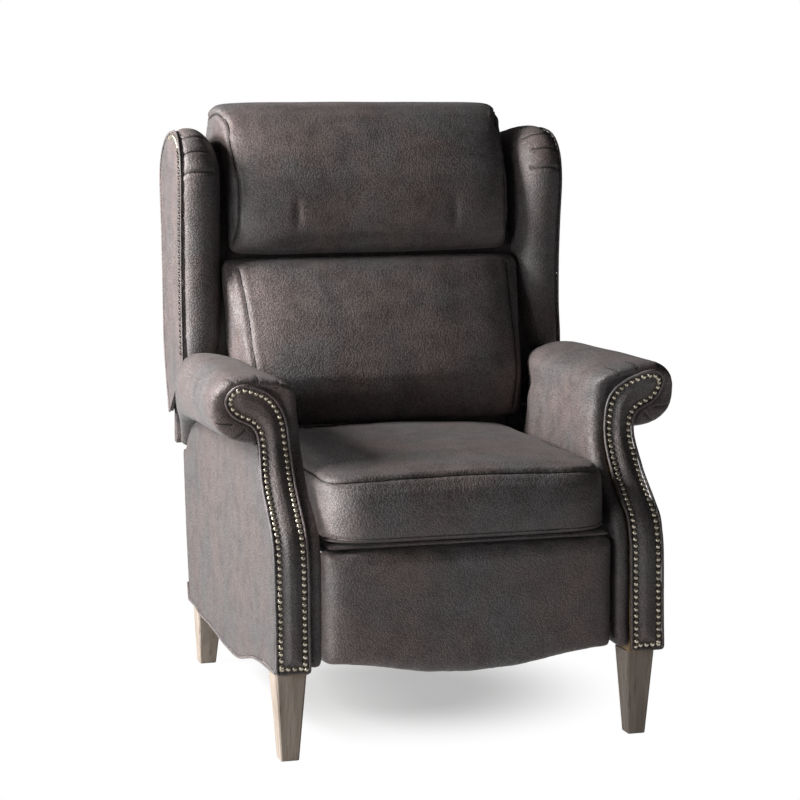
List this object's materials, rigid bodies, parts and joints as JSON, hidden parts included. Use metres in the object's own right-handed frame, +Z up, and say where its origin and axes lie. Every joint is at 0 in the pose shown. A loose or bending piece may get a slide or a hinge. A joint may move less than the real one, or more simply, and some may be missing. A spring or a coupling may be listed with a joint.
{
  "type": "wingback recliner",
  "caption": "Wingback reclining armchair on tall tapered legs, with scroll arms, winged back, head cushion, gliding seat and fold-out scalloped footrest.",
  "frame": {"origin": "centre of the chair's box on the floor", "axes": "+X to the chair's right-hand side as seen from in front, +Y towards its back, +Z up"},
  "size_m": [0.858, 0.9477, 1.103],
  "materials": {
    "leather": "dark grey-brown pebbled leather, mottled, low sheen, self-coloured seams",
    "leg_wood": "weathered grey-brown stain, satin, vertical grain",
    "frame_wood": "plain unfinished hardwood and plywood, hidden inside",
    "steel": "plain pressed steel linkage",
    "webbing": "elastic jute-coloured webbing"
  },
  "bodies": {
    "root": {"leg_front_right": "leg_wood", "leg_front_left": "leg_wood", "leg_rear_right": "leg_wood", "leg_rear_left": "leg_wood", "arm_pad_right": "leather", "arm_pad_left": "leather", "arm_front_panel_right": "leather", "arm_front_panel_left": "leather", "arm_side_panel_right": "leather", "arm_side_panel_left": "leather", "arm_front_post_right": "frame_wood", "arm_front_post_left": "frame_wood", "arm_rear_post_right": "frame_wood", "arm_rear_post_left": "frame_wood", "base_side_rail_right": "frame_wood", "base_side_rail_left": "frame_wood", "base_front_rail": "frame_wood", "base_middle_rail": "frame_wood", "base_rear_rail": "leather", "glide_track_right": "steel", "glide_track_left": "steel", "back_hinge_bracket_right": "steel", "back_hinge_bracket_left": "steel"},
    "back": {"back_stile_right": "frame_wood", "back_stile_left": "frame_wood", "back_top_rail": "frame_wood", "back_middle_rail": "frame_wood", "back_lower_rail": "frame_wood", "back_gusset_right": "frame_wood", "back_gusset_left": "frame_wood", "back_webbing": "webbing", "back_cushion": "leather", "headrest_cushion": "leather", "outside_back_panel": "leather", "wing_board_right": "frame_wood", "wing_board_left": "frame_wood", "wing_pad_right": "leather", "wing_pad_left": "leather", "wing_outer_panel_right": "leather", "wing_outer_panel_left": "leather"},
    "seat": {"seat_side_rail_right": "frame_wood", "seat_side_rail_left": "frame_wood", "seat_front_rail": "frame_wood", "seat_rear_rail": "frame_wood", "seat_webbing": "webbing", "seat_cushion": "leather", "mechanism_plate_right": "steel", "mechanism_plate_left": "steel"},
    "footrest_drive": {"drive_link_right": "steel", "drive_link_left": "steel", "torque_tube": "steel"},
    "scissor_cross": {"cross_link_right": "steel", "cross_link_left": "steel"},
    "scissor_outer": {"outer_link_right": "steel", "outer_link_left": "steel"},
    "footrest": {"footrest_bracket_right": "steel", "footrest_bracket_left": "steel", "footrest_board": "frame_wood", "footrest_pad": "leather"}
  },
  "joints": [
    {"name": "back_recline", "type": "hinge", "parent": "root", "child": "back", "pos_m": [0, 0.181, 0.325], "axis": [-1, 0, 0], "range_deg": [0, 30]},
    {"name": "seat_glide", "type": "slide", "parent": "root", "child": "seat", "axis": [0, -1, 0], "range_m": [0, 0.0451]},
    {"name": "footrest_open", "type": "hinge", "parent": "seat", "child": "footrest_drive", "pos_m": [0, -0.3494, 0.32017], "axis": [-1, 0, 0], "range_deg": [0, 90]},
    {"name": "cross_pivot", "type": "hinge", "parent": "footrest_drive", "child": "scissor_cross", "pos_m": [0, -0.3402, 0.23265], "axis": [-1, 0, 0], "range_deg": [-135, 0]},
    {"name": "outer_pivot", "type": "hinge", "parent": "footrest_drive", "child": "scissor_outer", "pos_m": [0, -0.33215, 0.15607], "axis": [-1, 0, 0], "range_deg": [-135, 0]},
    {"name": "toe_pivot", "type": "hinge", "parent": "scissor_cross", "child": "footrest", "pos_m": [0, -0.395, 0.345], "axis": [-1, 0, 0], "range_deg": [0, 135]}
  ],
  "couplings": [
    {"joint": "seat_glide", "follows": "back_recline", "m_per_rad": 0.085944},
    {"joint": "cross_pivot", "follows": "footrest_open", "ratio": -1.5},
    {"joint": "outer_pivot", "follows": "footrest_open", "ratio": -1.5},
    {"joint": "toe_pivot", "follows": "footrest_open", "ratio": 1.5}
  ]
}
